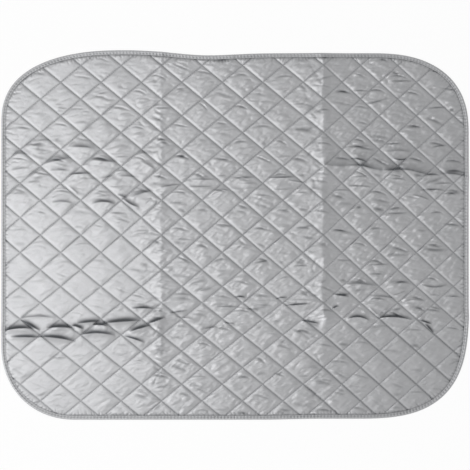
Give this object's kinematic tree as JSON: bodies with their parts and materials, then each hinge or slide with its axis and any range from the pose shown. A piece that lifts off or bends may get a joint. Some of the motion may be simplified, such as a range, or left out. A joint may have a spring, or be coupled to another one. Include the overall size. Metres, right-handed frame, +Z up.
{
  "type": "ironing pad",
  "caption": "Quilted silver-coated ironing pad with rounded corners and a bound edge, for pressing clothes on a table; it folds in thirds for storage.",
  "frame": {"origin": "on the table, under the middle of the flat pad", "axes": "+X along the pad's length, towards the shorter folding third; +Y across it; +Z up, out of the coated face"},
  "size_m": [0.7, 0.552, 0.006],
  "materials": {
    "coated_cloth": "silver-coated woven cloth with a soft metallic lustre",
    "wadding": "matt needled felt",
    "backing_cloth": "matt plain-woven cloth",
    "binding_tape": "matt woven tape",
    "sewing_thread": "twisted polyester thread"
  },
  "bodies": {
    "centre_panel": {"centre_top_cover": "coated_cloth", "centre_wadding": "wadding", "centre_back_cover": "backing_cloth", "centre_quilting_thread": "sewing_thread", "centre_far_binding": "binding_tape", "centre_far_binding_thread": "sewing_thread", "centre_near_binding": "binding_tape", "centre_near_binding_thread": "sewing_thread"},
    "left_panel": {"left_top_cover": "coated_cloth", "left_wadding": "wadding", "left_back_cover": "backing_cloth", "left_quilting_thread": "sewing_thread", "left_binding": "binding_tape", "left_binding_thread": "sewing_thread"},
    "right_panel": {"right_top_cover": "coated_cloth", "right_wadding": "wadding", "right_back_cover": "backing_cloth", "right_quilting_thread": "sewing_thread", "right_binding": "binding_tape", "right_binding_thread": "sewing_thread"}
  },
  "joints": [
    {"name": "fold_left", "type": "hinge", "parent": "centre_panel", "child": "left_panel", "pos_m": [-0.111, 0, 0.0085], "axis": [0, 1, 0], "range_deg": [0, 179]},
    {"name": "fold_right", "type": "hinge", "parent": "centre_panel", "child": "right_panel", "pos_m": [0.132, 0, 0.0155], "axis": [0, -1, 0], "range_deg": [0, 179]}
  ]
}
